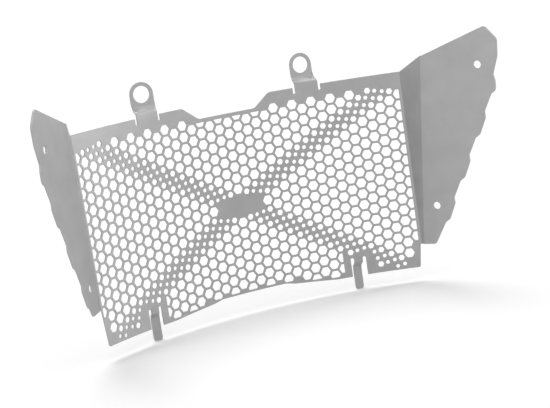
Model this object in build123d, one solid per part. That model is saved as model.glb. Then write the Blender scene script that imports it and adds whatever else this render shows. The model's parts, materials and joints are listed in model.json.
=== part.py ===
from build123d import *
import math
import os

# Motorcycle radiator guard: one sheet, laser cut, rolled to a hollow front and folded.
# X runs across the motorcycle, Y points back to the radiator and Z points up, in millimetres.
# Arcs and heights are measured on the front face from the middle of the grille. The finished
# guard is then moved so that its origin lies midway between the upper eyelets, at their rear.

# Sheet
sheet = 1.5
bend_radius = 2.0

# Curved panel
panel_radius = 302.0
panel_arc = 158.2
panel_top = 94.5
panel_bottom = -84.2
lower_corner_inset = 2.7

# Dip in the middle of the top edge
dip_height = 82.8
dip_arc = 26.5
dip_rise_arc = 14.5
dip_rounding = 6.0

# Bottom edge, which is highest in the middle
arch_height = -78.3
arch_arc = 31.0
arch_step_arc = 9.0
arch_step_height = 2.0
arch_end_arc = 80.0

# Grille of six-sided holes, with two plain bands that cross in the middle
hole_pitch = 10.0
hole_width = 8.1
hole_rim = 2.2
grille_top = 84.2
band_angle = 30.0
band_half_width = 8.66

# Side strips, each between the panel's fold and the wing's fold
strip_turn = 42.4
strip_crest = 107.3
strip_top_width = 26.8
strip_foot_width = 2.4

# Side wings: points are (outward, upward) from the wing's fold at the middle height
wing_turn = 17.7
wing_apex = (77.4, 127.8)
wing_chamfer_end = (87.4, 115.5)
wing_shoulder = (85.8, 101.0)
wing_upper_hollow = (79.9, 86.0)
wing_upper_crest = (81.0, 80.5)
wing_rounding = 5.0
right_wing_foot = -63.0
left_wing_foot = -51.0

# Wavy outer edge of a wing: the same crest and hollow, repeated down the slope
wave_count = 4
wave_start = (80.4, 72.0)
wave_step = (-20.0, -37.5)
wave_inward = (-4.8, -3.1)
hollow_run = (-8.1, -14.5)
crest_run = (-7.2, -14.3)
foot_run = (-11.4, -18.0)

# Screw holes of a wing
wing_hole_diameter = 6.6
upper_wing_hole = (66.7, 95.3)
lower_wing_hole = (9.7, -27.6)

# Upper eyelet tabs
eyelet_spacing = 150.0
eyelet_height = 113.2
eyelet_diameter = 21.0
eyelet_hole_diameter = 14.5
eyelet_setback = 5.8
tab_ramp_low = 97.5
tab_ramp_high = 103.5
relief_width = 2.0
relief_depth = 5.5

# Lower tongues
tongue_spacing = 197.0
tongue_width = 8.0
tongue_setback = 4.3
tongue_tip = -97.0
tongue_tip_rounding = 2.5
tongue_ramp_high = -71.0
tongue_ramp_low = -77.0
slot_width = 3.0
slot_top = -67.0

# Cut corners at a slot's end, as a share of its width
slot_chamfer = 0.3

# Rounded free corners
apex_rounding = 4.0
foot_rounding = 3.0
corner_rounding = 1.5

# Values that follow from the sizes above
end_angle = math.degrees(panel_arc / panel_radius)
strip_angle = end_angle + strip_turn
eyelet_spots = (-eyelet_spacing / 2, eyelet_spacing / 2)
tongue_spots = (-tongue_spacing / 2, tongue_spacing / 2)
bore_reach = 4 * sheet
far = 2 * panel_arc
tolerance = 0.001


def front_point(arc):
    """Plan position of the panel's front face at an arc from the middle."""
    angle = arc / panel_radius
    return Vector(panel_radius * math.sin(angle), panel_radius * (math.cos(angle) - 1))


def arc_at(spot):
    """Arc from the middle at which the front face has this X."""
    return panel_radius * math.asin(spot / panel_radius)


def on_panel(arc, height=0.0):
    """Plane that touches the front face: X along the arc, Y up, Z out of the hollow side."""
    angle = arc / panel_radius
    origin = front_point(arc) + Vector(0, 0, height)
    tangent = (math.cos(angle), -math.sin(angle), 0)
    inward = (-math.sin(angle), -math.cos(angle), 0)
    return Plane(origin=origin, x_dir=tangent, z_dir=inward)


def other_side(vector):
    """The same vector on the other side of the guard."""
    return Vector(-vector.X, vector.Y, vector.Z)


def bend_centre():
    """Centre of the right side fold in plan."""
    inward = on_panel(panel_arc).z_dir
    return front_point(panel_arc) + inward * bend_radius


def strip_plane():
    """Front face of the right strip: X across the strip from its fold, Y up."""
    angle = math.radians(strip_angle)
    outward = Vector(math.sin(angle), math.cos(angle))
    along = (math.cos(angle), -math.sin(angle), 0)
    return Plane(origin=bend_centre() + outward * bend_radius, x_dir=along, z_dir=outward * -1)


def wing_fold():
    """Lower and upper point of the line between the right strip and its wing."""
    foot = min(right_wing_foot, left_wing_foot)
    plane = strip_plane()
    low = plane.from_local_coords(Vector(strip_foot_width, foot))
    high = plane.from_local_coords(Vector(strip_top_width, strip_crest))
    return low, high


def wing_plane():
    """Front face of the right wing: X outward and level, Y up, origin on the fold at height zero."""
    low, high = wing_fold()
    fold = Axis(low, high - low)
    inward = strip_plane().z_dir.rotate(Axis((0, 0, 0), fold.direction), wing_turn)
    level = Vector(0, 0, 1).cross(inward)
    middle = low + (high - low) * (-low.Z / (high.Z - low.Z))
    return Plane(origin=middle, x_dir=level, z_dir=inward)


def mitre_plane():
    """Plane through the right wing's fold that halves its angle, facing the wing."""
    low, high = wing_fold()
    halfway = strip_plane().z_dir + wing_plane().z_dir
    facing = (high - low).cross(halfway)
    return Plane(origin=low, x_dir=high - low, z_dir=facing)


def plan_line(depth):
    """Edges of the sheet's plan at a depth behind its front face, from strip end to strip end."""
    # The panel is one smooth curve whose handles have the length that follows the arc
    radius = panel_radius + depth
    angle = math.radians(end_angle)
    reach = radius * math.tan(angle / 2) * 4 / 3
    end = Vector(radius * math.sin(angle), radius * math.cos(angle) - panel_radius)
    handle = end - Vector(math.cos(angle), -math.sin(angle)) * reach
    panel = Bezier(other_side(end), other_side(handle), handle, end)
    bend = CenterArc(bend_centre(), bend_radius + depth, 90 - end_angle, -strip_turn)
    strip_run = strip_plane().x_dir * (2 * strip_top_width)
    strip = Line(bend @ 1, bend @ 1 + strip_run)
    side = [bend, strip]
    return [panel] + side + [edge.mirror(Plane.YZ) for edge in side]


def plan_profile():
    """Plan of the sheet: curved panel, two side folds and two strips."""
    front = plan_line(0)
    back = plan_line(sheet)
    cap = Line(front[2] @ 1, back[2] @ 1)
    return make_face(front + back + [cap, cap.mirror(Plane.YZ)])


def both_sides(pieces):
    """The pieces of the right side, with their mirror images on the left."""
    return pieces + [mirror(piece, Plane.YZ) for piece in pieces]


def prism(plane, outline, reach):
    """The outline on this plane, carried the same way to both sides."""
    return extrude(plane * outline, reach, both=True)


def rounded(body, spots, radius):
    """The body with the short edge nearest to each (X, Z) spot rounded."""
    short = [(e, e.center()) for e in body.edges() if e.length < 2 * sheet]
    corners = [min(short, key=lambda item: math.hypot(item[1].X - x, item[1].Z - z)) for x, z in spots]
    return fillet([edge for edge, centre in corners], radius)


def symmetric(points):
    """The points of the right side in front of their mirror images, as one closed face."""
    left = [(-x, z) for x, z in reversed(points)]
    return make_face(Polyline(*left, *points, close=True))


def dip_points():
    """Right corners of the dip in the top edge."""
    return [(front_point(dip_arc).X, dip_height), (front_point(dip_arc + dip_rise_arc).X, panel_top)]


def arch_points():
    """Right corners of the arched bottom edge."""
    step = front_point(arch_arc + arch_step_arc).X
    return [(front_point(arch_arc).X, arch_height), (step, arch_height - arch_step_height)]


def top_waste():
    """What is cut away above the panel, without the tabs."""
    edge = front_point(panel_arc).X
    waste = prism(Plane.XZ, symmetric(dip_points() + [(edge, panel_top), (edge, far)]), far)
    column = Pos(0, tab_ramp_low / 2) * Rectangle(eyelet_diameter, tab_ramp_low)
    return waste - [prism(on_panel(arc_at(spot)), column, bore_reach) for spot in eyelet_spots]


def bottom_waste():
    """What is cut away below the panel's arched bottom edge."""
    end = front_point(arch_end_arc).X
    return prism(Plane.XZ, symmetric(arch_points() + [(end, panel_bottom), (end, -far)]), far)


def slot_pair(spot, width, gap, end, edge):
    """Two slots this far apart at X = spot, from the panel's edge to an end with cut corners."""
    slot = Rectangle(width, 2 * abs(end - edge))
    slot = chamfer(slot.vertices(), width * slot_chamfer)
    offset = (gap + width) / 2
    slots = [Pos(side * offset, edge) * slot for side in (-1, 1)]
    return [prism(on_panel(arc_at(spot)), slot, bore_reach) for slot in slots]


def below_tongue(spot):
    """What is cut away between the slots below the root of the tongue at X = spot."""
    outline = Rectangle(tongue_width + slot_width, far, align=(Align.CENTER, Align.MAX))
    return prism(on_panel(arc_at(spot)), Pos(0, tongue_ramp_high) * outline, bore_reach)


def side_top_waste():
    """What is cut away above the right strip and wing, level and halfway between their directions."""
    high = wing_fold()[1]
    halfway = strip_plane().z_dir + wing_plane().z_dir
    facing = Vector(halfway.X, halfway.Y)
    plane = Plane(origin=high, x_dir=Vector(0, 0, 1).cross(facing), z_dir=facing)
    inner = plane.to_local_coords(strip_plane().from_local_coords(Vector(0, panel_top)))
    apex = plane.to_local_coords(wing_plane().from_local_coords(Vector(*wing_apex)))
    inner_end = inner - Vector(2 * (bend_radius + sheet), 0)
    outer_end = apex * 2
    above = [outer_end + Vector(0, far), inner_end + Vector(0, far)]
    flat = [(point.X, point.Y) for point in [inner_end, inner, Vector(), outer_end] + above]
    return prism(plane, make_face(Polyline(*flat, close=True)), panel_arc / 2)


def foot_waste(foot):
    """What is cut away below the right strip and wing, with the panel's slanted lower side."""
    reach = panel_bottom - panel_arc
    outline = Polyline((0, foot), (-lower_corner_inset, panel_bottom), (-lower_corner_inset, reach),
                       (panel_arc, reach), (panel_arc, foot), close=True)
    return prism(on_panel(panel_arc), make_face(outline), panel_arc)


def crest_points():
    """Both ends of each crest down the wavy edge, but for the start of the first."""
    ends = [Vector(*wave_start) + Vector(*wave_step) * k for k in range(wave_count)]
    starts = [end - Vector(*crest_run) for end in ends]
    return [point for pair in zip(starts, ends) for point in pair][1:]


def wave_points():
    """Corners of the wavy edge, from the first crest's lower end to the last hollow's upper end."""
    points = []
    for k, crest in enumerate(crest_points()):
        if k % 2 == 0:
            points += [crest, crest + Vector(*wave_inward)]
        else:
            points += [points[-1] + Vector(*hollow_run), crest]
    return points


def wing_outline():
    """Outline of the right wing on its own plane, reaching past its fold, top and foot."""
    plane = wing_plane()
    low, high = [plane.to_local_coords(point) for point in wing_fold()]
    upper = [wing_chamfer_end, wing_shoulder, wing_upper_hollow, wing_upper_crest]
    wave = wave_points()
    bottom = wave[-1] + Vector(*foot_run) * ((low.Y - wave[-1].Y) / foot_run[1] + 1)
    above = Vector(*wing_apex) * 2 - Vector(*wing_chamfer_end)
    along = (high - low) * (1 / (high.Y - low.Y))
    inner_top = high + along * (above.Y - high.Y) - Vector(2 * sheet, 0)
    inner_bottom = low + along * (bottom.Y - low.Y) - Vector(2 * sheet, 0)
    outline = make_face(Polyline(inner_top, above, *upper, *wave, bottom, inner_bottom, close=True))
    crests = upper[:2] + upper[3:] + [(point.X, point.Y) for point in crest_points()]
    corners = [outline.vertices().sort_by_distance(Vector(*crest))[0] for crest in crests]
    return fillet(corners, wing_rounding)


def wing_corners(foot):
    """The (X, Z) spots of the right wing's top corner and of its outer corner at this foot height."""
    plane = wing_plane()
    start = wave_points()[-1]
    drop = foot / plane.y_dir.Z - start.Y
    apex = plane.from_local_coords(Vector(*wing_apex))
    heel = plane.from_local_coords(start + Vector(*foot_run) * (drop / foot_run[1]))
    return (apex.X, apex.Z), (heel.X, heel.Z)


def wing_plate():
    """The right wing with its screw holes, mitred at its fold."""
    plane = wing_plane()
    bore = Circle(wing_hole_diameter / 2)
    outline = wing_outline() - [Pos(*spot) * bore for spot in (upper_wing_hole, lower_wing_hole)]
    return split(extrude(plane * outline, -sheet), mitre_plane(), Keep.TOP)


def channel():
    """Curved panel between its two strips, with its edges and slots cut and their corners rounded."""
    body = extrude(Pos(0, 0, panel_bottom) * plan_profile(), wing_apex[1] - panel_bottom)
    body = body - [top_waste(), bottom_waste()]
    for spot in eyelet_spots:
        body = body - slot_pair(spot, relief_width, eyelet_diameter, panel_top - relief_depth, panel_top)
    for spot in tongue_spots:
        body = body - slot_pair(spot, slot_width, tongue_width, slot_top, panel_bottom)
        body = body - below_tongue(spot)
    return rounded(body, dip_points() + [(-x, z) for x, z in dip_points()], dip_rounding)


def folded_sheet():
    """Panel, strips and wings, with the folds between strips and wings rounded."""
    body = channel()
    right = mitre_plane()
    left = Plane(other_side(right.origin), other_side(right.x_dir), other_side(right.z_dir))
    for mitre in (right, left):
        body = split(body, mitre, Keep.BOTTOM)
    body = body + both_sides([wing_plate()])
    body = body - [foot_waste(right_wing_foot), mirror(foot_waste(left_wing_foot), Plane.YZ)]
    body = body - both_sides([side_top_waste()])
    for mitre in (right, left):
        for radius in (bend_radius + sheet, bend_radius):
            body = fillet(fold_edges(body, mitre)[0], radius)
    panel_corner = on_panel(panel_arc).from_local_coords(Vector(-lower_corner_inset, panel_bottom)).X
    for side, foot in ((1, right_wing_foot), (-1, left_wing_foot)):
        apex, heel = wing_corners(foot)
        body = rounded(body, [(side * apex[0], apex[1])], apex_rounding)
        body = rounded(body, [(side * heel[0], heel[1])], foot_rounding)
        body = rounded(body, [(side * panel_corner, panel_bottom)], corner_rounding)
    return body


def fold_edges(body, mitre):
    """Sharp edges of the body along this mitre, the front one first."""
    edges = [e for e in body.edges().filter_by(GeomType.LINE) if e.length > strip_crest]
    folds = [e for e in edges if all(abs(mitre.to_local_coords(e @ end).Z) < tolerance for end in (0, 1))]
    return sorted(folds, key=lambda e: e.center().Y)


def joggle(spot, width, start, end, setback):
    """Ramp from the panel, at X = spot, to a flat plate that faces forward, as thick as the sheet."""
    root = front_point(arc_at(spot))
    tilt = math.degrees(arc_at(spot) / panel_radius)
    first = plan_profile() & (Pos(root) * Rot(0, 0, -tilt) * Rectangle(width, bore_reach))
    inner = root - on_panel(arc_at(spot)).z_dir * (sheet / 2)
    outer = Vector(spot, root.Y + setback + sheet / 2)
    slant = math.hypot(1, setback / (end - start))
    halfway = Pos((inner + outer) * 0.5) * Rot(0, 0, -tilt / 2) * Rectangle(width, sheet * slant)
    last = Pos(outer) * Rectangle(width, sheet)
    heights = (start, (start + end) / 2, end)
    return loft([(Pos(0, 0, z) * face).face() for z, face in zip(heights, (first, halfway, last))])


def plate(spot, setback, outline):
    """Flat plate that faces forward, from its outline round X = spot."""
    front = Vector(spot, front_point(arc_at(spot)).Y + setback)
    facing = Plane(origin=front, x_dir=(1, 0, 0), z_dir=(0, -1, 0))
    return extrude(facing * outline, -sheet)


def eyelet_tab(spot):
    """Upper tab with its eyelet at X = spot."""
    stem = Rectangle(eyelet_diameter, eyelet_height - tab_ramp_high, align=(Align.CENTER, Align.MIN))
    ring = Pos(0, eyelet_height) * Circle(eyelet_diameter / 2)
    hole = Pos(0, eyelet_height) * Circle(eyelet_hole_diameter / 2)
    outline = Pos(0, tab_ramp_high) * stem + ring - hole
    ramp = joggle(spot, eyelet_diameter, tab_ramp_low, tab_ramp_high, eyelet_setback)
    return [ramp, plate(spot, eyelet_setback, outline)]


def tongue(spot):
    """Lower tongue at X = spot, which slips behind a rail."""
    blade = Rectangle(tongue_width, tongue_ramp_low - tongue_tip, align=(Align.CENTER, Align.MAX))
    tip = blade.vertices().sort_by(Axis.Y)[:2]
    outline = Pos(0, tongue_ramp_low) * fillet(tip, tongue_tip_rounding)
    ramp = joggle(spot, tongue_width, tongue_ramp_high, tongue_ramp_low, tongue_setback)
    return [ramp, plate(spot, tongue_setback, outline)]


def top_edge(arc):
    """Height of the panel's top edge at an arc from the middle."""
    rise = (abs(arc) - dip_arc) / dip_rise_arc
    return dip_height + (panel_top - dip_height) * min(max(rise, 0), 1)


def bottom_edge(arc):
    """Height of the panel's bottom edge at an arc from the middle."""
    step = min(max((abs(arc) - arch_arc) / arch_step_arc, 0), 1) * arch_step_height
    slope_start = arch_arc + arch_step_arc
    slope = min(max((abs(arc) - slope_start) / (arch_end_arc - slope_start), 0), 1)
    return arch_height - step + (panel_bottom - arch_height + arch_step_height) * slope


def has_hole(arc, height):
    """True where a whole hole fits inside the rim, off both bands and clear of the tongues."""
    half = hole_width / 2 + hole_rim
    corner = hole_width / math.sqrt(3) + hole_rim
    reach = [abs(arc) - corner, abs(arc) + corner]
    angle = math.radians(band_angle)
    away = abs(abs(height) * math.cos(angle) - abs(arc) * math.sin(angle))
    top = min(grille_top + hole_rim, top_edge(reach[0]))
    tongue_arc = arc_at(tongue_spacing / 2)
    by_tongue = abs(abs(arc) - tongue_arc) < tongue_width / 2 + slot_width + corner
    inside = reach[1] < panel_arc - lower_corner_inset and height + half < top
    above = height - half > bottom_edge(arc)
    return inside and above and away > band_half_width and not (by_tongue and height - half < slot_top)


def grille():
    """Six-sided holes in columns, each column half a pitch above the next."""
    spacing = hole_pitch * math.sqrt(3) / 2
    outline = RegularPolygon(hole_width / 2, 6, major_radius=False)
    tool = extrude(outline, bore_reach, both=True)
    columns = math.floor(panel_arc / spacing)
    rows = math.ceil(panel_top / hole_pitch)
    holes = []
    for column in range(-columns, columns + 1):
        shift = 0 if column % 2 else hole_pitch / 2
        for row in range(-rows, rows):
            spot = (column * spacing, row * hole_pitch + shift)
            if has_hole(*spot):
                holes.append(on_panel(*spot).location * tool)
    return holes


guard = folded_sheet()
for spot in eyelet_spots:
    guard = guard + eyelet_tab(spot)
for spot in tongue_spots:
    guard = guard + tongue(spot)
guard = guard - grille()
rear = front_point(arc_at(eyelet_spacing / 2)).Y + eyelet_setback + sheet
guard = Pos(0, -rear, -eyelet_height) * guard
os.makedirs("parts", exist_ok=True)
export_step(guard, "parts/radiator_guard.step")
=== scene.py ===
import json
import math

import bpy
from bpy.props import FloatProperty, FloatVectorProperty, IntProperty, PointerProperty
from mathutils import Matrix, Vector
from mathutils.geometry import delaunay_2d_cdt
from mathutils.kdtree import KDTree


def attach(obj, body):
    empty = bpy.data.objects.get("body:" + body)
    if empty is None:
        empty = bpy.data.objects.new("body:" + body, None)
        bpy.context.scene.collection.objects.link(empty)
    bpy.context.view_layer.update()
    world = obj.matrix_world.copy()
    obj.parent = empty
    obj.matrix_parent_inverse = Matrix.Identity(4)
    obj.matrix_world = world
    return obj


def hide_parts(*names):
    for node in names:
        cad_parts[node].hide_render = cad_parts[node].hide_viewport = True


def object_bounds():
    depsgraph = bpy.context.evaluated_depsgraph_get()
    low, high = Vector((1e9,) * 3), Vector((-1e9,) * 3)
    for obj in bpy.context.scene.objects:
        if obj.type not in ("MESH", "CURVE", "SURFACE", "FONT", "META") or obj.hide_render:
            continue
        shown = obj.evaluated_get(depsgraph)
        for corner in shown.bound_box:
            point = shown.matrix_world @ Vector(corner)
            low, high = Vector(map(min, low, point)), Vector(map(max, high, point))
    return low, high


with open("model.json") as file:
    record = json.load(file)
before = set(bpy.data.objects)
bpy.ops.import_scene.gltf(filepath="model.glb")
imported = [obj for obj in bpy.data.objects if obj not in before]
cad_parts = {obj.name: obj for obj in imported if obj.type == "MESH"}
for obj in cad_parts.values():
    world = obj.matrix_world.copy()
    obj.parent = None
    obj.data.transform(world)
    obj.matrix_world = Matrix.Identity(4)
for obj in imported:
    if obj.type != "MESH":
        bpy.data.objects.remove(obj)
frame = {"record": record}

bl_info = {
    "name": "Perforated radiator guard",
    "version": (1, 0, 0),
    "blender": (4, 5, 0),
    "location": "3D View > Sidebar > Guard",
    "description": "Perforates and folds the sheet of a radiator guard and sets it on a white floor",
    "category": "Object",
}

NODE = "radiator_guard"
PIECE = "perforated_sheet"
CAD_LOW, CAD_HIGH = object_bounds()
MOUNTS = {mount["name"]: mount["dims"] for mount in frame["record"]["mounts"]}
EYELETS = MOUNTS["upper_eyelets"]
WING_HOLES = MOUNTS["right_wing_holes"]
METAL = frame["record"]["materials"][0]
MM = 0.001

# The two axes of the flat blank.
ACROSS = 0
UP = 1
# Points of an outline that are closer than this are one point.
SAME_PLACE = MM / 1000
# Points of the mesh that are closer than this are one point.
SAME_POINT = MM / 10000
# The kind of Delaunay mesh that fills the outlines and nothing outside them.
FILL_OUTLINES = 1

EYELET_POINTS = 48
SCREW_HOLE_POINTS = 32
CORNER_STEPS = 6
HOLE_CORNER_STEPS = 2
# The share of a ramp that each of its rounded ends takes.
RAMP_SOFTNESS = 0.45
# Guide rows end this many bevels inside the edge, and a ramp's rows have this many points on each side.
ROW_MARGIN = 3
ROW_POINTS = 4
# At a sharp corner a point moves by at most the bevel's width divided by this.
LEAST_TURN = 0.5
# A cut-off hole is left out when less than this share of it remains.
LEAST_HOLE = 1 / 4
# A hole's centre may lie above its upper limit by this share of the rim.
CENTRE_SLACK = 1 / 4
SHARP_ANGLE = math.radians(40)

MOTTLE_SCALE = 60.0
MOTTLE_DETAIL = 6.0
MOTTLE_RANGE = (0.3, 0.7)
ROUGHNESS_SPREAD = 0.05
GRAIN_SCALE = 1800.0
GRAIN_DETAIL = 3.0
GRAIN_STRENGTH = 0.25

WHITE = (1.0, 1.0, 1.0, 1.0)
FLOOR_SIZE = 8.0
# Each lamp in degrees: round from the front to the right, up from the floor, and its own width.
LAMP_BEHIND = (180, 71, 38)
LAMP_FRONT = (0, 66, 48)
LAMP_RIGHT = (72, 15, 30)
LAMP_LEFT = (-72, 15, 30)


def length(name, description, default):
    """A size in millimetres, kept in metres."""
    return FloatProperty(name=name, description=description, default=default * MM,
                         unit="LENGTH", precision=5)


def spot(name, description, default):
    """A point on a flat face in millimetres, kept in metres."""
    point = [value * MM for value in default]
    return FloatVectorProperty(name=name, description=description, default=point, size=2,
                               unit="LENGTH", precision=5)


def angle(name, description, default):
    """An angle in degrees, kept in radians."""
    return FloatProperty(name=name, description=description, default=math.radians(default), unit="ROTATION")


def share(name, description, default):
    """A number from 0 to 1."""
    return FloatProperty(name=name, description=description, default=default,
                         min=0.0, max=1.0, subtype="FACTOR")


def strength(name, description, default):
    """The strength of a light."""
    return FloatProperty(name=name, description=description, default=default)


def whole_number(name, description, default):
    """A number of things."""
    return IntProperty(name=name, description=description, default=default)


class GuardSheet(bpy.types.PropertyGroup):
    """The sheet and how finely it is meshed"""

    thickness: length("Thickness", "Thickness of the sheet", 1.5)
    bend_radius: length("Bend radius", "Inner radius of a fold", 2.0)
    edge_bevel: length("Edge bevel", "Width of the broken edge round holes and outline", 0.15)
    edge_step: length("Edge step", "Longest straight stretch of an edge in the mesh", 4.0)
    inner_step: length("Inner step", "Spacing of the mesh's inner points", 6.0)
    bend_steps: whole_number("Bend steps", "Flat strips across a fold", 6)


class GuardPanel(bpy.types.PropertyGroup):
    """The curved panel: arcs and heights from the middle of the grille"""

    radius: length("Radius", "Radius of the hollow front face", 302.0)
    arc: length("Half arc", "Arc from the middle to the side fold", 158.2)
    top: length("Top", "Height of the top edge", 94.5)
    bottom: length("Bottom", "Height of the bottom edge", -84.2)
    corner_inset: length("Corner inset", "How far the lower corners stand in", 2.7)
    corner_rounding: length("Corner rounding", "Radius of the lower corners", 1.5)
    dip_height: length("Dip height", "Height of the top edge in the middle", 82.8)
    dip_arc: length("Dip half arc", "Arc from the middle to the start of the rise", 26.5)
    dip_rise: length("Dip rise", "Arc over which the top edge rises", 14.5)
    dip_rounding: length("Dip rounding", "Radius of the dip's corners", 6.0)
    arch_height: length("Arch height", "Height of the bottom edge in the middle", -78.3)
    arch_arc: length("Arch half arc", "Arc from the middle to the end of the arch's top", 31.0)
    arch_step: length("Arch step arc", "Arc of the arch's first slope", 9.0)
    arch_drop: length("Arch step drop", "Drop of the arch's first slope", 2.0)
    arch_end: length("Arch end", "Arc at which the bottom edge becomes level", 80.0)


class GuardGrille(bpy.types.PropertyGroup):
    """The holes of the grille"""

    pitch: length("Pitch", "Distance between large holes", 10.0)
    large: length("Large hole", "Width across the flats", 8.1)
    medium: length("Medium hole", "Width across the flats, along the bands' borders", 5.0)
    small: length("Small hole", "Width across the flats, along the bands' middles", 3.4)
    rounding: share("Corner rounding", "Radius of a hole's corners as a share of its width", 0.09)
    top: length("Top", "Highest edge of the holes", 84.2)
    rim: length("Rim", "Plain rim inside the panel's edges", 1.8)
    top_rim: length("Top rim", "Plain rim under the dip of the top edge", 3.2)
    side_rim: length("Side rim", "Plain rim before the side folds", 1.5)
    slot_rim: length("Slot rim", "Plain rim between fine holes and the tongues' slots", 2.2)
    slot_clip: length("Slot clip", "Plain rim between large holes and the tongues' slots", 6.5)
    medium_rim: length("Medium rim", "Lowest centre of a medium hole above the bottom edge", 6.0)
    small_rim: length("Small rim", "Lowest centre of a small hole above the bottom edge", 3.4)
    band_angle: angle("Band angle", "Slope of the two bands", 30.0)
    band_half: length("Band half width", "Half width of a band", 8.66)
    band_medium: spot("Medium place", "Place of a medium hole along and across its band", (7.5, 6.2))
    band_small: spot("Small place", "Place of a small hole along and across its band", (2.5, 2.2))
    plate_columns: whole_number("Plate columns", "Columns that the middle plate covers", 2)


class GuardWing(bpy.types.PropertyGroup):
    """Strips and wings: points are outward and upward from the wing's fold at the middle height"""

    strip_turn: angle("Strip turn", "Angle of the fold between panel and strip", 42.4)
    strip_crest: length("Strip crest", "Height of the strip's top at the wing's fold", 107.3)
    strip_top: length("Strip top width", "Width of the strip at its crest", 26.8)
    strip_foot: length("Strip foot width", "Width of the strip at its foot", 2.4)
    turn: angle("Wing turn", "Angle of the fold between strip and wing", 17.7)
    apex: spot("Apex", "Top corner", (77.4, 127.8))
    chamfer_end: spot("Chamfer end", "Lower end of the top corner's slope", (87.4, 115.5))
    shoulder: spot("Shoulder", "Start of the upper hollow's slope", (85.8, 101.0))
    upper_hollow: spot("Upper hollow", "Deepest point above the waves", (79.9, 86.0))
    upper_crest: spot("Upper crest", "Start of the first wave", (81.0, 80.5))
    wave_start: spot("Wave start", "Lower end of the first crest", (80.4, 72.0))
    wave_step: spot("Wave step", "From one crest to the next", (-20.0, -37.5))
    wave_inward: spot("Wave inward", "From a crest's end into the hollow", (-4.8, -3.1))
    hollow_run: spot("Hollow run", "Along a hollow", (-8.1, -14.5))
    crest_run: spot("Crest run", "Along a crest", (-7.2, -14.3))
    foot_run: spot("Foot run", "Along the last stretch to the foot", (-11.4, -18.0))
    wave_count: whole_number("Waves", "Crests down the outer edge", 4)
    rounding: length("Rounding", "Radius of the crests' corners", 5.0)
    apex_rounding: length("Apex rounding", "Radius of the top corner", 4.0)
    foot_rounding: length("Foot rounding", "Radius of the foot's outer corner", 3.0)
    right_foot: length("Right foot", "Height of the right wing's foot", -63.0)
    left_foot: length("Left foot", "Height of the left wing's foot", -51.0)
    upper_hole: spot("Upper hole", "Centre of the upper screw hole", (66.7, 95.3))
    lower_hole: spot("Lower hole", "Centre of the lower screw hole", (9.7, -27.6))
    hole: length("Screw hole", "Radius of a screw hole", WING_HOLES["hole_r_mm"])


class GuardTabs(bpy.types.PropertyGroup):
    """Upper eyelet tabs and lower tongues"""

    eyelet_spot: length("Eyelet place", "From the middle to an eyelet", EYELETS["spacing_x_mm"] / 2)
    eyelet_height: length("Eyelet height", "Height of the eyelets", 113.2)
    eyelet_radius: length("Eyelet radius", "Outer radius of an eyelet", 10.5)
    eyelet_hole: length("Eyelet hole", "Radius of an eyelet's hole", EYELETS["hole_r_mm"])
    eyelet_setback: length("Eyelet setback", "How far the tabs stand back", 5.8)
    tab_ramp_low: length("Tab ramp low", "Lower end of a tab's ramp", 97.5)
    tab_ramp_high: length("Tab ramp high", "Upper end of a tab's ramp", 103.5)
    relief_width: length("Relief width", "Width of the slots beside a tab", 2.0)
    relief_depth: length("Relief depth", "Depth of the slots beside a tab", 5.5)
    tongue_spot: length("Tongue place", "From the middle to a tongue", 98.5)
    tongue_half: length("Tongue half width", "Half the width of a tongue", 4.0)
    tongue_setback: length("Tongue setback", "How far the tongues stand back", 4.3)
    tongue_tip: length("Tongue tip", "Height of the tongues' tips", -97.0)
    tongue_rounding: length("Tongue rounding", "Radius of a tip's corners", 2.5)
    tongue_ramp_high: length("Tongue ramp high", "Upper end of a tongue's ramp", -71.0)
    tongue_ramp_low: length("Tongue ramp low", "Lower end of a tongue's ramp", -77.0)
    slot_width: length("Slot width", "Width of the slots beside a tongue", 3.0)
    slot_top: length("Slot top", "Height of these slots' ends", -67.0)
    slot_chamfer: share("Slot chamfer", "Cut corners at a slot's end as a share of its width", 0.3)


class GuardFinish(bpy.types.PropertyGroup):
    """The satin metal of the sheet"""

    colour: FloatVectorProperty(name="Colour", description="Mean colour",
                                default=METAL["base_color"], subtype="COLOR")
    mottle: share("Mottle", "How far the colour wanders", 0.05)
    metallic: share("Metallic", "How far the sheet mirrors rather than scatters", 0.5)
    roughness: share("Roughness", "Mean roughness", 0.46)
    grain: length("Grain", "Height of the blasted grain", 0.01)


class GuardStage(bpy.types.PropertyGroup):
    """Camera, floor and light"""

    aim: FloatVectorProperty(name="Aim", description="Point that the camera looks at",
                             default=(0.0045148, -0.0652805, -0.105269), unit="LENGTH", precision=5)
    distance: FloatProperty(name="Distance", description="From the camera to the aim",
                            default=1.174312, unit="LENGTH")
    azimuth: angle("Azimuth", "How far the camera stands to the left", 22.50585)
    elevation: angle("Elevation", "How far the camera stands above the aim", 10.15859)
    roll: angle("Roll", "How far the camera leans", -8.62959)
    lens: FloatProperty(name="Lens", description="Focal length on a 36 mm sensor",
                        default=91.5683, unit="CAMERA")
    floor_shade: share("Floor shade", "Pale grey of the floor itself", 0.95)
    floor_glow: share("Floor glow", "Light that the floor adds to be white to the eye", 0.13)
    ambient: strength("Ambient", "Strength of the surrounding light", 0.42)
    behind: strength("Light behind", "Strength of the light above and behind", 1.3)
    front: strength("Light in front", "Strength of the light above and in front", 0.5)
    right: strength("Light on the right", "Strength of the right light", 1.3)
    left: strength("Light on the left", "Strength of the left light", 0.43)


def lerp(first, second, run):
    """The point at a share of the way from the first to the second."""
    return first + (second - first) * run


def clamp(value):
    """The value kept between 0 and 1."""
    return min(max(value, 0.0), 1.0)


def ease(run):
    """A straight rise from 0 to 1 with rounded ends."""
    soft = RAMP_SOFTNESS
    if run < soft:
        return run * run / (2 * soft * (1 - soft))
    if run > 1 - soft:
        return 1 - (1 - run) ** 2 / (2 * soft * (1 - soft))
    return (run - soft / 2) / (1 - soft)


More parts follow.
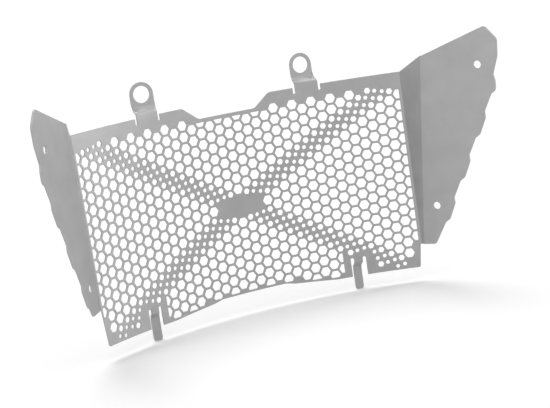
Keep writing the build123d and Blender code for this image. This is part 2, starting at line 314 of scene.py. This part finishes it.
class Blank:
    """The flat blank, with arcs across it and heights up it, and the way it is folded."""

    def __init__(self, scene):
        self.sheet = scene.guard_sheet
        self.panel = scene.guard_panel
        self.wing = scene.guard_wing
        self.tabs = scene.guard_tabs
        self.bend_arc = self.sheet.bend_radius * self.wing.strip_turn
        self.strip_start = self.panel.arc + self.bend_arc
        self.tab_arc = self.arc_at(self.tabs.eyelet_spot)
        self.tongue_arc = self.arc_at(self.tabs.tongue_spot)
        self.set_strip()
        self.set_wing()
        rear = self.curve(self.tab_arc)[0].y + self.tabs.eyelet_setback + self.sheet.thickness
        self.shift = Vector((0, -rear, -self.tabs.eyelet_height))

    def arc_at(self, across):
        """Arc from the middle at which the panel's front has this X."""
        return self.panel.radius * math.asin(across / self.panel.radius)

    def curve(self, arc):
        """Plan position and facing direction of the panel or its fold at an arc on the right."""
        radius = self.panel.radius
        turn = min(arc, self.panel.arc) / radius
        facing = Vector((-math.sin(turn), -math.cos(turn), 0))
        place = Vector((radius * math.sin(turn), radius * (math.cos(turn) - 1), 0))
        if arc > self.panel.arc:
            centre = place + facing * self.sheet.bend_radius
            turn += (arc - self.panel.arc) / self.sheet.bend_radius
            facing = Vector((-math.sin(turn), -math.cos(turn), 0))
            place = centre - facing * self.sheet.bend_radius
        return place, facing

    def set_strip(self):
        """Origin and directions of the right strip's front face."""
        self.strip_origin, self.strip_facing = self.curve(self.strip_start)
        self.strip_across = Vector((-self.strip_facing.y, self.strip_facing.x, 0))

    def set_wing(self):
        """The line of the right wing's fold, on the strip and in space, and the wing's directions."""
        wing = self.wing
        self.fold_low = Vector((wing.strip_foot, min(wing.right_foot, wing.left_foot)))
        along = (Vector((wing.strip_top, wing.strip_crest)) - self.fold_low).normalized()
        self.fold_along = along
        self.fold_out = Vector((along.y, -along.x))
        self.fold_origin = self.on_strip(self.fold_low)
        self.fold_axis = self.on_strip(self.fold_low + along) - self.fold_origin
        turned = Matrix.Rotation(wing.turn, 3, self.fold_axis)
        self.out_on_strip = self.on_strip(self.fold_low + self.fold_out) - self.fold_origin
        self.out_on_wing = turned @ self.out_on_strip
        self.wing_facing = turned @ self.strip_facing
        self.fold_radius = self.sheet.bend_radius + self.sheet.thickness
        self.fold_reach = self.fold_radius * math.tan(wing.turn / 2)

    def on_strip(self, point):
        """Place in space of a point on the right strip's front face."""
        return self.strip_origin + self.strip_across * point.x + Vector((0, 0, point.y))

    def from_wing(self, point):
        """Blank position of a point given outward and upward on the right wing."""
        level = Vector((0, 0, 1)).cross(self.wing_facing).normalized()
        up = self.wing_facing.cross(level)
        middle = self.fold_origin - self.fold_axis * (self.fold_origin.z / self.fold_axis.z)
        space = middle + level * point[0] + up * point[1] - self.fold_origin
        return self.by_fold(space.dot(self.out_on_wing), space.dot(self.fold_axis))

    def by_fold(self, out, along):
        """Blank position at a distance out from the wing's fold and along it."""
        flat = self.fold_low + self.fold_out * out + self.fold_along * along
        return Vector((self.strip_start + flat.x, flat.y))

    def at_fold(self, height, out):
        """Blank position beside the wing's fold, at the height of the fold itself."""
        return self.by_fold(out, (height - self.fold_low.y) / self.fold_along.y)

    def on_right(self, arc, height):
        """Place and facing direction of a point of the right half's front face."""
        if arc <= self.strip_start:
            place, facing = self.curve(arc)
            return place + Vector((0, 0, height)), facing
        flat = Vector((arc - self.strip_start, height)) - self.fold_low
        out = flat.dot(self.fold_out)
        foot = self.fold_origin + self.fold_axis * flat.dot(self.fold_along)
        if out <= -self.fold_reach:
            return foot + self.out_on_strip * out, self.strip_facing
        if out >= self.fold_reach:
            return foot + self.out_on_wing * out, self.wing_facing
        turn = self.wing.turn * (out + self.fold_reach) / (2 * self.fold_reach)
        facing = Matrix.Rotation(turn, 3, self.fold_axis) @ self.strip_facing
        centre = foot - self.out_on_strip * self.fold_reach - self.strip_facing * self.fold_radius
        return centre + facing * self.fold_radius, facing

    def on_tab(self, arc, height):
        """Place of a point of the right tab's or tongue's front face."""
        tabs = self.tabs
        base = self.curve(arc)[0]
        if height > 0:
            run = (height - tabs.tab_ramp_low) / (tabs.tab_ramp_high - tabs.tab_ramp_low)
            middle, across, setback = self.tab_arc, tabs.eyelet_spot, tabs.eyelet_setback
        else:
            run = (height - tabs.tongue_ramp_high) / (tabs.tongue_ramp_low - tabs.tongue_ramp_high)
            middle, across, setback = self.tongue_arc, tabs.tongue_spot, tabs.tongue_setback
        plate = Vector((across + arc - middle, self.curve(middle)[0].y + setback, 0))
        return lerp(base, plate, ease(clamp(run))) + Vector((0, 0, height))

    def is_tab(self, arc, height):
        """True on a tab or tongue, from its ramp on."""
        tabs = self.tabs
        tab_reach = tabs.eyelet_radius + tabs.relief_width / 2
        tongue_reach = tabs.tongue_half + tabs.slot_width / 2
        tab = height > tabs.tab_ramp_low and abs(arc - self.tab_arc) < tab_reach
        tongue = height < tabs.tongue_ramp_high and abs(arc - self.tongue_arc) < tongue_reach
        return tab or tongue

    def fold(self, point, depth):
        """Place in space of a blank point at a depth behind the front face."""
        side = -1 if point[0] < 0 else 1
        arc, height = abs(point[0]), point[1]
        if self.is_tab(arc, height):
            near = self.sheet.edge_bevel
            place = self.on_tab(arc, height)
            across = self.on_tab(arc + near, height) - self.on_tab(arc - near, height)
            upward = self.on_tab(arc, height + near) - self.on_tab(arc, height - near)
            facing = across.cross(upward).normalized()
        else:
            place, facing = self.on_right(arc, height)
        place = place - facing * depth
        return Vector((side * place.x, place.y, place.z)) + self.shift


def top_edge(panel, arc):
    """Height of the panel's top edge."""
    return lerp(panel.dip_height, panel.top, clamp((arc - panel.dip_arc) / panel.dip_rise))


def bottom_edge(panel, arc):
    """Height of the panel's bottom edge."""
    step = panel.arch_drop * clamp((arc - panel.arch_arc) / panel.arch_step)
    start = panel.arch_arc + panel.arch_step
    slope = clamp((arc - start) / (panel.arch_end - start))
    return panel.arch_height - step + (panel.bottom - panel.arch_height + panel.arch_drop) * slope


def slot(left, right, end, edge, chamfer):
    """Corners of a slot from the edge's height to its end and back, from left to right."""
    cut = (right - left) * chamfer
    inward = cut if end > edge else -cut
    return [(left, edge, 0), (left, end - inward, 0), (left + cut, end, 0), (right - cut, end, 0),
            (right, end - inward, 0), (right, edge, 0)]


def tongue_outline(blank):
    """Corners of the right tongue and its two slots, from left to right along the bottom edge."""
    tabs, bottom, middle = blank.tabs, blank.panel.bottom, blank.tongue_arc
    inner, outer = tabs.tongue_half, tabs.tongue_half + tabs.slot_width
    left = slot(middle - outer, middle - inner, tabs.slot_top, bottom, tabs.slot_chamfer)
    right = slot(middle + inner, middle + outer, tabs.slot_top, bottom, tabs.slot_chamfer)
    tips = [(middle + side * inner, tabs.tongue_tip, tabs.tongue_rounding) for side in (-1, 1)]
    return left[:-1] + tips + right[1:]


def tab_outline(blank):
    """Corners of the right tab and its two slots, from right to left along the top edge."""
    tabs, top, middle = blank.tabs, blank.panel.top, blank.tab_arc
    inner, outer = tabs.eyelet_radius, tabs.eyelet_radius + tabs.relief_width
    end = top - tabs.relief_depth
    left = slot(middle - outer, middle - inner, end, top, tabs.slot_chamfer)
    right = slot(middle + inner, middle + outer, end, top, tabs.slot_chamfer)
    ring = circle((middle, tabs.eyelet_height), inner, EYELET_POINTS)
    upper_half = ring[:EYELET_POINTS // 2 + 1]
    return right[:0:-1] + [(x, y, 0) for x, y in upper_half] + left[-2::-1]


def wing_outline(blank, foot):
    """Corners of the right wing from its foot up its wavy edge to its apex."""
    wing = blank.wing
    points = [(wing.chamfer_end, wing.rounding), (wing.shoulder, wing.rounding),
              (wing.upper_hollow, wing.rounding), (wing.upper_crest, wing.rounding)]
    hollow = None
    for wave in range(wing.wave_count):
        crest = Vector(wing.wave_start) + Vector(wing.wave_step) * wave
        if hollow:
            points += [(hollow + Vector(wing.hollow_run), wing.rounding / 2)]
            points += [(crest - Vector(wing.crest_run), wing.rounding)]
        hollow = crest + Vector(wing.wave_inward)
        points += [(crest, wing.rounding), (hollow, wing.rounding / 2)]
    corners = [(*blank.from_wing(point), rounding) for point, rounding in points]
    start = blank.from_wing(hollow)
    end = blank.from_wing(hollow + Vector(wing.foot_run))
    base = blank.at_fold(foot, blank.fold_reach)
    level = blank.from_wing((1, 0)) - blank.from_wing((0, 0))
    heel = crossing(start, end - start, base, level)
    apex = (*blank.from_wing(wing.apex), wing.apex_rounding)
    return [(*heel, wing.foot_rounding)] + corners[::-1] + [apex]


def crossing(first, along, second, across):
    """Where two lines on the blank meet."""
    run = (second - first).cross(across) / along.cross(across)
    return first + along * run


def half_outline(blank, foot):
    """Corners of the right half of the blank, from the bottom's middle round to the top's."""
    panel, wing = blank.panel, blank.wing
    steps = [step / blank.sheet.bend_steps for step in range(blank.sheet.bend_steps + 1)]
    bend = [panel.arc + blank.bend_arc * step for step in steps]
    reach = [blank.fold_reach * (2 * step - 1) for step in steps]
    start = panel.arch_arc + panel.arch_step
    points = [(panel.arch_arc, panel.arch_height, 0), (start, panel.arch_height - panel.arch_drop, 0)]
    points += [(panel.arch_end, panel.bottom, 0)] + tongue_outline(blank)
    points += [(panel.arc - panel.corner_inset, panel.bottom, panel.corner_rounding)]
    points += [(arc, foot, 0) for arc in bend]
    points += [(*blank.at_fold(foot, out), 0) for out in reach] + wing_outline(blank, foot)
    points += [(*blank.at_fold(wing.strip_crest, out), 0) for out in reversed(reach)]
    points += [(arc, panel.top, 0) for arc in reversed(bend)] + tab_outline(blank)
    points += [(panel.dip_arc + panel.dip_rise, panel.top, panel.dip_rounding)]
    return points + [(panel.dip_arc, panel.dip_height, panel.dip_rounding)]


def outline(blank):
    """The whole edge of the blank, rounded and finely divided, with the sheet on its left."""
    right = half_outline(blank, blank.wing.right_foot)
    left = [(-x, y, radius) for x, y, radius in reversed(half_outline(blank, blank.wing.left_foot))]
    return divided(rounded(right + left, CORNER_STEPS), blank.sheet.edge_step)


def rounded(corners, steps):
    """A closed outline of (x, y, radius) corners as points, each corner rounded in steps, none doubled."""
    points = []
    for k, (x, y, radius) in enumerate(corners):
        here = Vector((x, y))
        back = Vector(corners[k - 1][:2]) - here
        ahead = Vector(corners[(k + 1) % len(corners)][:2]) - here
        if not radius:
            points.append(here)
            continue
        half = back.angle(ahead) / 2
        reach = min(radius / math.tan(half), back.length / 2, ahead.length / 2)
        first, last = here + back.normalized() * reach, here + ahead.normalized() * reach
        for step in range(steps + 1):
            run = step / steps
            points.append(lerp(lerp(first, here, run), lerp(here, last, run), run))
    return [here for k, here in enumerate(points) if (here - points[k - 1]).length > SAME_PLACE]


def divided(points, step):
    """A closed outline with no stretch longer than the step."""
    fine = []
    for k, here in enumerate(points):
        ahead = points[(k + 1) % len(points)]
        count = max(1, math.ceil((ahead - here).length / step))
        fine += [lerp(here, ahead, part / count) for part in range(count)]
    return fine


def circle(centre, radius, count):
    """Points round a circle, anticlockwise from its right."""
    points = []
    for k in range(count):
        turn = 2 * math.pi * k / count
        points.append(Vector((centre[0] + radius * math.cos(turn), centre[1] + radius * math.sin(turn))))
    return points


def hexagon(centre, width):
    """Corners of a six-sided hole with level sides, anticlockwise."""
    return circle(centre, width / math.sqrt(3), 6)


def clipped(points, axis, limit, keep):
    """The part of an outline beyond (keep 1) or before (keep -1) a limit along an axis of the blank."""
    result = []
    for k, here in enumerate(points):
        ahead = points[(k + 1) % len(points)]
        depth, next_depth = [(point[axis] - limit) * keep for point in (here, ahead)]
        if depth >= 0:
            result.append(here)
        if depth * next_depth < 0:
            result.append(lerp(here, ahead, depth / (depth - next_depth)))
    return result


def area(points):
    """Area inside an outline."""
    pairs = zip(points, points[1:] + points[:1])
    return abs(sum(here.cross(ahead) for here, ahead in pairs)) / 2


def column_spacing(grille):
    """Arc between neighbouring columns of large holes."""
    return grille.pitch * math.sqrt(3) / 2


def band_direction(grille):
    """Direction on the blank of the band that rises to the right."""
    return Vector((math.cos(grille.band_angle), math.sin(grille.band_angle)))


def large_holes(blank, grille):
    """Large holes in columns of the right half, cut off where they meet the rim."""
    panel, tabs = blank.panel, blank.tabs
    spacing = column_spacing(grille)
    foot = min(blank.wing.right_foot, blank.wing.left_foot)
    window = tabs.tongue_half + tabs.slot_width + grille.slot_clip
    band = band_direction(grille)
    side = panel.arc - grille.side_rim
    rows = range(math.floor(panel.bottom / grille.pitch), math.ceil(panel.top / grille.pitch))
    for column in range(math.ceil(panel.arc / spacing)):
        arc = column * spacing
        top = min(grille.top, top_edge(panel, arc) - grille.top_rim)
        bottom = bottom_edge(panel, arc) + grille.rim
        for row in rows:
            centre = Vector((arc, grille.pitch * (row if column % 2 else row + 0.5)))
            if abs(abs(centre.y) * band.x - arc * band.y) < grille.band_half:
                continue
            low = centre.y - grille.large / 2
            beyond = arc > blank.tongue_arc and low < bottom
            by_foot = arc + grille.large / 2 > side and low < foot
            too_high = centre.y > top + grille.rim * CENTRE_SLACK
            if too_high or centre.y < bottom or beyond or by_foot:
                continue
            whole = hexagon(centre, grille.large)
            hole = clipped(clipped(whole, UP, top, -1), UP, bottom, 1)
            hole = clipped(hole, ACROSS, side, -1)
            if low < tabs.slot_top + grille.slot_clip:
                if arc < blank.tongue_arc:
                    hole = clipped(hole, ACROSS, blank.tongue_arc - window, -1)
                else:
                    hole = clipped(hole, ACROSS, blank.tongue_arc + window, 1)
            if len(hole) > 2 and area(hole) > area(whole) * LEAST_HOLE:
                yield hole


def fine_holes(blank, grille):
    """Medium and small holes of the right half's two bands."""
    panel, tabs = blank.panel, blank.tabs
    along = band_direction(grille)
    across = Vector((-along.y, along.x))
    window = tabs.tongue_half + tabs.slot_width + grille.slot_rim
    medium = (grille.band_medium, grille.medium, grille.medium_rim)
    small = (grille.band_small, grille.small, grille.small_rim)
    kinds = [(sign, *kind) for kind in (medium, small) for sign in (-1, 1)]
    last = math.floor(panel.arc / column_spacing(grille)) - 1
    for column in range(grille.plate_columns, last):
        middle = along * (column * grille.pitch)
        for sign, offset, width, rim in kinds:
            centre = middle + (along * offset[0] - across * offset[1]) * sign
            for upward in (1, -1):
                place = Vector((centre.x, centre.y * upward))
                beside = abs(place.x - blank.tongue_arc) < window + width / 2
                by_slot = beside and place.y - width / 2 < tabs.slot_top + grille.slot_rim
                inside = place.y > panel.bottom + rim and place.y + width / 2 < grille.top
                if inside and not by_slot and place.x + width / 2 < panel.arc - grille.rim:
                    yield hexagon(place, width)


def softened(hole, grille):
    """A grille hole with rounded corners, with the sheet on its left."""
    width = 2 * math.sqrt(area(hole) / math.pi)
    points = rounded([(*point, width * grille.rounding) for point in hole], HOLE_CORNER_STEPS)
    return points[::-1]


def hole_outlines(blank, grille):
    """Edges of all holes, each with the sheet on its left."""
    wing, tabs = blank.wing, blank.tabs
    holes = [softened(hole, grille) for hole in large_holes(blank, grille)]
    holes += [softened(hole, grille) for hole in fine_holes(blank, grille)]
    aside = [hole for hole in holes if min(point.x for point in hole) > 0]
    left = [[Vector((-point.x, point.y)) for point in reversed(hole)] for hole in aside]
    for sign in (1, -1):
        for centre in (wing.upper_hole, wing.lower_hole):
            place = blank.from_wing(centre)
            holes.append(circle((sign * place.x, place.y), wing.hole, SCREW_HOLE_POINTS)[::-1])
        eyelet = (sign * blank.tab_arc, tabs.eyelet_height)
        holes.append(circle(eyelet, tabs.eyelet_hole, EYELET_POINTS)[::-1])
    return holes + left


def inset(points, width):
    """A closed outline moved by a width into the sheet on its left."""
    moved = []
    for k, here in enumerate(points):
        back = (here - points[k - 1]).normalized()
        ahead = (points[(k + 1) % len(points)] - here).normalized()
        corner = Vector((-back.y - ahead.y, back.x + ahead.x)).normalized()
        turn = max(corner.dot(Vector((-back.y, back.x))), LEAST_TURN)
        moved.append(here + corner * (width / turn))
    return moved


def guide_rows(blank):
    """Rows of points along the folds and across the ramps, so that the mesh bends there."""
    panel, wing, tabs, sheet = blank.panel, blank.wing, blank.tabs, blank.sheet
    rows = []
    near = sheet.edge_bevel * ROW_MARGIN
    for side, foot in ((1, wing.right_foot), (-1, wing.left_foot)):
        for step in range(sheet.bend_steps + 1):
            run = step / sheet.bend_steps
            arc, out = panel.arc + blank.bend_arc * run, blank.fold_reach * (2 * run - 1)
            count = math.ceil((panel.top - foot) / sheet.inner_step)
            heights = [lerp(foot + near, panel.top - near, k / count) for k in range(count + 1)]
            rows.append([Vector((side * arc, height)) for height in heights])
            heights = [lerp(foot + near, wing.strip_crest - near, k / count) for k in range(count + 1)]
            points = [blank.at_fold(height, out) for height in heights]
            rows.append([Vector((side * point.x, point.y)) for point in points])
        ramps = [(blank.tab_arc, tabs.eyelet_radius, tabs.tab_ramp_low, tabs.tab_ramp_high),
                 (blank.tongue_arc, tabs.tongue_half, tabs.tongue_ramp_high, tabs.tongue_ramp_low)]
        for middle, half, start, end in ramps:
            for step in range(2 * sheet.bend_steps + 1):
                height = lerp(start, end, step / (2 * sheet.bend_steps))
                arcs = [middle + (half - near) * k / ROW_POINTS for k in range(-ROW_POINTS, ROW_POINTS + 1)]
                rows.append([Vector((side * arc, height)) for arc in arcs])
    return rows


def inner_points(blank, loops, rows):
    """An even spread of points over the blank, clear of edges, holes and guide rows."""
    step = blank.sheet.inner_step
    taken = [point for loop in loops for point in loop] + [point for row in rows for point in row]
    tree = KDTree(len(taken))
    for k, point in enumerate(taken):
        tree.insert((*point, 0), k)
    tree.balance()
    reach = max(point.x for point in loops[0])
    low, high = min(point.y for point in loops[0]), max(point.y for point in loops[0])
    columns, count = math.ceil(reach / step), math.ceil((high - low) / step)
    centres = [sum(loop, Vector((0, 0))) / len(loop) for loop in loops[1:]]
    radii = [max((point - centre).length for point in loop) for centre, loop in zip(centres, loops[1:])]
    holes = KDTree(len(centres))
    for k, centre in enumerate(centres):
        holes.insert((*centre, 0), k)
    holes.balance()
    spread = [Vector((column * step, low + row * step))
              for column in range(-columns, columns + 1) for row in range(count)]
    clear = [point for point in spread if tree.find((*point, 0))[2] > step / 2]
    return [point for point in clear
            if all(gap > radii[k] for _, k, gap in holes.find_range((*point, 0), max(radii)))]


def flat_mesh(blank, loops, rows):
    """Points and triangles of the blank between its edges, and each loop's point numbers."""
    points = [point for loop in loops for point in loop]
    edges, numbers, count = [], [], 0
    for loop in loops:
        numbers.append(list(range(count, count + len(loop))))
        edges += [(count + k, count + (k + 1) % len(loop)) for k in range(len(loop))]
        count += len(loop)
    for row in rows:
        edges += [(count + k, count + k + 1) for k in range(len(row) - 1)]
        points += row
        count += len(row)
    points += inner_points(blank, loops, rows)
    flat, _, faces, origins, _, _ = delaunay_2d_cdt(points, edges, [], FILL_OUTLINES, SAME_POINT)
    place = {old: new for new, olds in enumerate(origins) for old in olds}
    numbers = [[place[number] for number in loop] for loop in numbers]
    owner = {number: k for k, loop in enumerate(numbers[1:]) for number in loop}
    kept = [face for face in faces if len({owner.get(number, -1 - number) for number in face}) > 1]
    used = sorted({number for face in kept for number in face})
    order = {number: k for k, number in enumerate(used)}
    kept = [[order[number] for number in face] for face in kept]
    return [flat[number] for number in used], kept, [[order[number] for number in loop] for loop in numbers]


def sheet_mesh(blank, grille):
    """The folded sheet as a mesh: front, back and the bevelled walls of its edges."""
    sheet = blank.sheet
    walls = [outline(blank)] + hole_outlines(blank, grille)
    face_edges = [inset(loop, sheet.edge_bevel) for loop in walls]
    flat, triangles, numbers = flat_mesh(blank, face_edges, guide_rows(blank))
    vertices = [blank.fold(point, 0) for point in flat]
    vertices += [blank.fold(point, sheet.thickness) for point in flat]
    behind = len(flat)
    faces = [tuple(face) for face in triangles]
    faces += [tuple(number + behind for number in reversed(face)) for face in triangles]
    for wall, loop in zip(walls, numbers):
        start, count = len(vertices), len(wall)
        vertices += [blank.fold(point, sheet.edge_bevel) for point in wall]
        vertices += [blank.fold(point, sheet.thickness - sheet.edge_bevel) for point in wall]
        rings = [loop, range(start, start + count), range(start + count, start + 2 * count)]
        rings.append([number + behind for number in loop])
        for upper, lower in zip(rings, rings[1:]):
            for k in range(count):
                following = (k + 1) % count
                faces.append((upper[k], lower[k], lower[following], upper[following]))
    mesh = bpy.data.meshes.new(PIECE)
    mesh.from_pydata(vertices, [], faces)
    mesh.validate()
    mesh.shade_smooth()
    mesh.set_sharp_from_angle(angle=SHARP_ANGLE)
    return mesh


def satin_metal(finish):
    """Satin sheet metal with a fine grain and a faint mottle."""
    material = bpy.data.materials.new("satin_metal")
    material.use_nodes = True
    nodes, links = material.node_tree.nodes, material.node_tree.links
    shader = nodes["Principled BSDF"]
    shader.inputs["Metallic"].default_value = finish.metallic
    place = nodes.new("ShaderNodeTexCoord")
    cloud = nodes.new("ShaderNodeTexNoise")
    cloud.inputs["Scale"].default_value = MOTTLE_SCALE
    cloud.inputs["Detail"].default_value = MOTTLE_DETAIL
    links.new(place.outputs["Object"], cloud.inputs["Vector"])
    tint = nodes.new("ShaderNodeValToRGB")
    colour = Vector(finish.colour)
    factors = (1 - finish.mottle, 1 + finish.mottle)
    for stop, factor, position in zip(tint.color_ramp.elements, factors, MOTTLE_RANGE):
        stop.color = (*(colour * factor), 1.0)
        stop.position = position
    links.new(cloud.outputs["Fac"], tint.inputs["Fac"])
    links.new(tint.outputs["Color"], shader.inputs["Base Color"])
    sheen = nodes.new("ShaderNodeMapRange")
    sheen.inputs["To Min"].default_value = finish.roughness - ROUGHNESS_SPREAD
    sheen.inputs["To Max"].default_value = finish.roughness + ROUGHNESS_SPREAD
    links.new(cloud.outputs["Fac"], sheen.inputs["Value"])
    links.new(sheen.outputs["Result"], shader.inputs["Roughness"])
    grain = nodes.new("ShaderNodeTexNoise")
    grain.inputs["Scale"].default_value = GRAIN_SCALE
    grain.inputs["Detail"].default_value = GRAIN_DETAIL
    links.new(place.outputs["Object"], grain.inputs["Vector"])
    bump = nodes.new("ShaderNodeBump")
    bump.inputs["Strength"].default_value = GRAIN_STRENGTH
    bump.inputs["Distance"].default_value = finish.grain
    links.new(grain.outputs["Fac"], bump.inputs["Height"])
    links.new(bump.outputs["Normal"], shader.inputs["Normal"])
    return material


def white_floor(stage):
    """A pale floor that is white to the eye but still takes the guard's shadow."""
    material = bpy.data.materials.new("white_floor")
    material.use_nodes = True
    nodes, links = material.node_tree.nodes, material.node_tree.links
    nodes.clear()
    output = nodes.new("ShaderNodeOutputMaterial")
    matt = nodes.new("ShaderNodeBsdfDiffuse")
    matt.inputs["Color"].default_value = (*[stage.floor_shade] * 3, 1.0)
    white = nodes.new("ShaderNodeEmission")
    white.inputs["Color"].default_value = WHITE
    glow = nodes.new("ShaderNodeMath")
    glow.operation = "MULTIPLY"
    glow.inputs[1].default_value = stage.floor_glow
    both = nodes.new("ShaderNodeAddShader")
    links.new(seen_share(nodes, links), glow.inputs[0])
    links.new(glow.outputs["Value"], white.inputs["Strength"])
    links.new(matt.outputs["BSDF"], both.inputs[0])
    links.new(white.outputs["Emission"], both.inputs[1])
    links.new(both.outputs["Shader"], output.inputs["Surface"])
    return material


def seen_share(nodes, links):
    """A socket that is 1 for rays from the camera, from gloss and through glass, and 0 for others."""
    path = nodes.new("ShaderNodeLightPath")
    first = nodes.new("ShaderNodeMath")
    first.operation = "MAXIMUM"
    second = nodes.new("ShaderNodeMath")
    second.operation = "MAXIMUM"
    links.new(path.outputs["Is Camera Ray"], first.inputs[0])
    links.new(path.outputs["Is Glossy Ray"], first.inputs[1])
    links.new(first.outputs["Value"], second.inputs[0])
    links.new(path.outputs["Is Transmission Ray"], second.inputs[1])
    return second.outputs["Value"]


def white_world(stage):
    """A plain white surrounding that lights the guard more softly than it shows."""
    world = bpy.data.worlds.new("white_world")
    world.use_nodes = True
    nodes, links = world.node_tree.nodes, world.node_tree.links
    nodes.clear()
    output = nodes.new("ShaderNodeOutputWorld")
    soft = nodes.new("ShaderNodeBackground")
    soft.inputs["Strength"].default_value = stage.ambient
    white = nodes.new("ShaderNodeBackground")
    white.inputs["Strength"].default_value = 1.0
    for light in (soft, white):
        light.inputs["Color"].default_value = WHITE
    blend = nodes.new("ShaderNodeMixShader")
    links.new(seen_share(nodes, links), blend.inputs["Fac"])
    links.new(soft.outputs["Background"], blend.inputs[1])
    links.new(white.outputs["Background"], blend.inputs[2])
    links.new(blend.outputs["Shader"], output.inputs["Surface"])
    return world


def distant_lamp(name, strength, azimuth, elevation, spread):
    """A wide and distant lamp, in degrees round from the front to the right and up from the floor."""
    lamp = bpy.data.lights.new(name, "SUN")
    lamp.energy = strength
    lamp.angle = math.radians(spread)
    holder = bpy.data.objects.new(name, lamp)
    around, up = math.radians(azimuth), math.radians(elevation)
    towards = Vector((math.sin(around) * math.cos(up), -math.cos(around) * math.cos(up), math.sin(up)))
    holder.rotation_euler = towards.to_track_quat("Z", "Y").to_euler()
    bpy.context.scene.collection.objects.link(holder)
    return holder


def light_alone(lamps, piece):
    """Let lamps light one piece and not the floor, so that they throw no long shadows there."""
    lit = bpy.data.collections.new("lit_from_the_sides")
    lit.objects.link(piece)
    for lamp in lamps:
        lamp.light_linking.receiver_collection = lit


def photo_camera(stage):
    """The camera at the place, angle and lean of the photograph."""
    camera = bpy.data.cameras.new("camera")
    camera.lens = stage.lens
    holder = bpy.data.objects.new("camera", camera)
    level, drop = math.cos(stage.elevation), math.sin(stage.elevation)
    forward = Vector((math.sin(stage.azimuth) * level, math.cos(stage.azimuth) * level, -drop))
    right = forward.cross(Vector((0, 0, 1))).normalized()
    upward = right.cross(forward)
    leaning = right * math.cos(stage.roll) + upward * math.sin(stage.roll)
    axes = Matrix((leaning, leaning.cross(forward), -forward)).transposed()
    place = Vector(stage.aim) - forward * stage.distance
    holder.matrix_world = Matrix.Translation(place) @ axes.to_4x4()
    bpy.context.scene.collection.objects.link(holder)
    return holder


class GUARD_OT_fold_sheet(bpy.types.Operator):
    """Perforate the blank, fold it and let it stand for the plain sheet"""

    bl_idname = "guard.fold_sheet"
    bl_label = "Fold the perforated sheet"

    def execute(self, context):
        scene = context.scene
        mesh = sheet_mesh(Blank(scene), scene.guard_grille)
        if not mesh.polygons:
            raise RuntimeError("the blank gave no faces")
        mesh.materials.append(satin_metal(scene.guard_finish))
        piece = bpy.data.objects.new(PIECE, mesh)
        scene.collection.objects.link(piece)
        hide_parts(NODE)
        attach(piece, "root")
        return {"FINISHED"}


class GUARD_OT_set_stage(bpy.types.Operator):
    """Lay the white floor and set the lamps, the surroundings and the camera"""

    bl_idname = "guard.set_stage"
    bl_label = "Set the stage"

    def execute(self, context):
        scene, stage = context.scene, context.scene.guard_stage
        sheet = bpy.data.objects.get(PIECE)
        if not sheet:
            raise RuntimeError("the sheet has to be folded before the stage is set")
        bpy.ops.mesh.primitive_plane_add(size=FLOOR_SIZE, location=(0, 0, CAD_LOW.z))
        floor = context.object
        floor.name = "floor"
        floor.data.materials.append(white_floor(stage))
        distant_lamp("lamp_behind", stage.behind, *LAMP_BEHIND)
        distant_lamp("lamp_front", stage.front, *LAMP_FRONT)
        right = distant_lamp("lamp_right", stage.right, *LAMP_RIGHT)
        left = distant_lamp("lamp_left", stage.left, *LAMP_LEFT)
        light_alone((right, left), sheet)
        scene.world = white_world(stage)
        scene.camera = photo_camera(stage)
        scene.view_settings.view_transform = "Standard"
        return {"FINISHED"}


class GUARD_PT_sidebar(bpy.types.Panel):
    """Steps and sizes of the radiator guard"""

    bl_label = "Radiator guard"
    bl_idname = "GUARD_PT_sidebar"
    bl_space_type = "VIEW_3D"
    bl_region_type = "UI"
    bl_category = "Guard"

    def draw(self, context):
        for operator in OPERATORS:
            self.layout.operator(operator.bl_idname)
        for name in GROUPS:
            box = self.layout.box()
            group = getattr(context.scene, name)
            for key in group.__annotations__:
                box.prop(group, key)


GROUPS = {
    "guard_sheet": GuardSheet,
    "guard_panel": GuardPanel,
    "guard_grille": GuardGrille,
    "guard_wing": GuardWing,
    "guard_tabs": GuardTabs,
    "guard_finish": GuardFinish,
    "guard_stage": GuardStage,
}
OPERATORS = (GUARD_OT_fold_sheet, GUARD_OT_set_stage)


def register():
    """Make the sizes, the steps and the sidebar known."""
    for name, group in GROUPS.items():
        bpy.utils.register_class(group)
        setattr(bpy.types.Scene, name, PointerProperty(type=group))
    for item in (*OPERATORS, GUARD_PT_sidebar):
        bpy.utils.register_class(item)


def unregister():
    """Take the sizes, the steps and the sidebar away again."""
    for item in (GUARD_PT_sidebar, *reversed(OPERATORS)):
        bpy.utils.unregister_class(item)
    for name, group in GROUPS.items():
        delattr(bpy.types.Scene, name)
        bpy.utils.unregister_class(group)


def main():
    """Build the visual guard and its stage."""
    register()
    bpy.ops.guard.fold_sheet()
    bpy.ops.guard.set_stage()


if __name__ == "__main__":
    main()
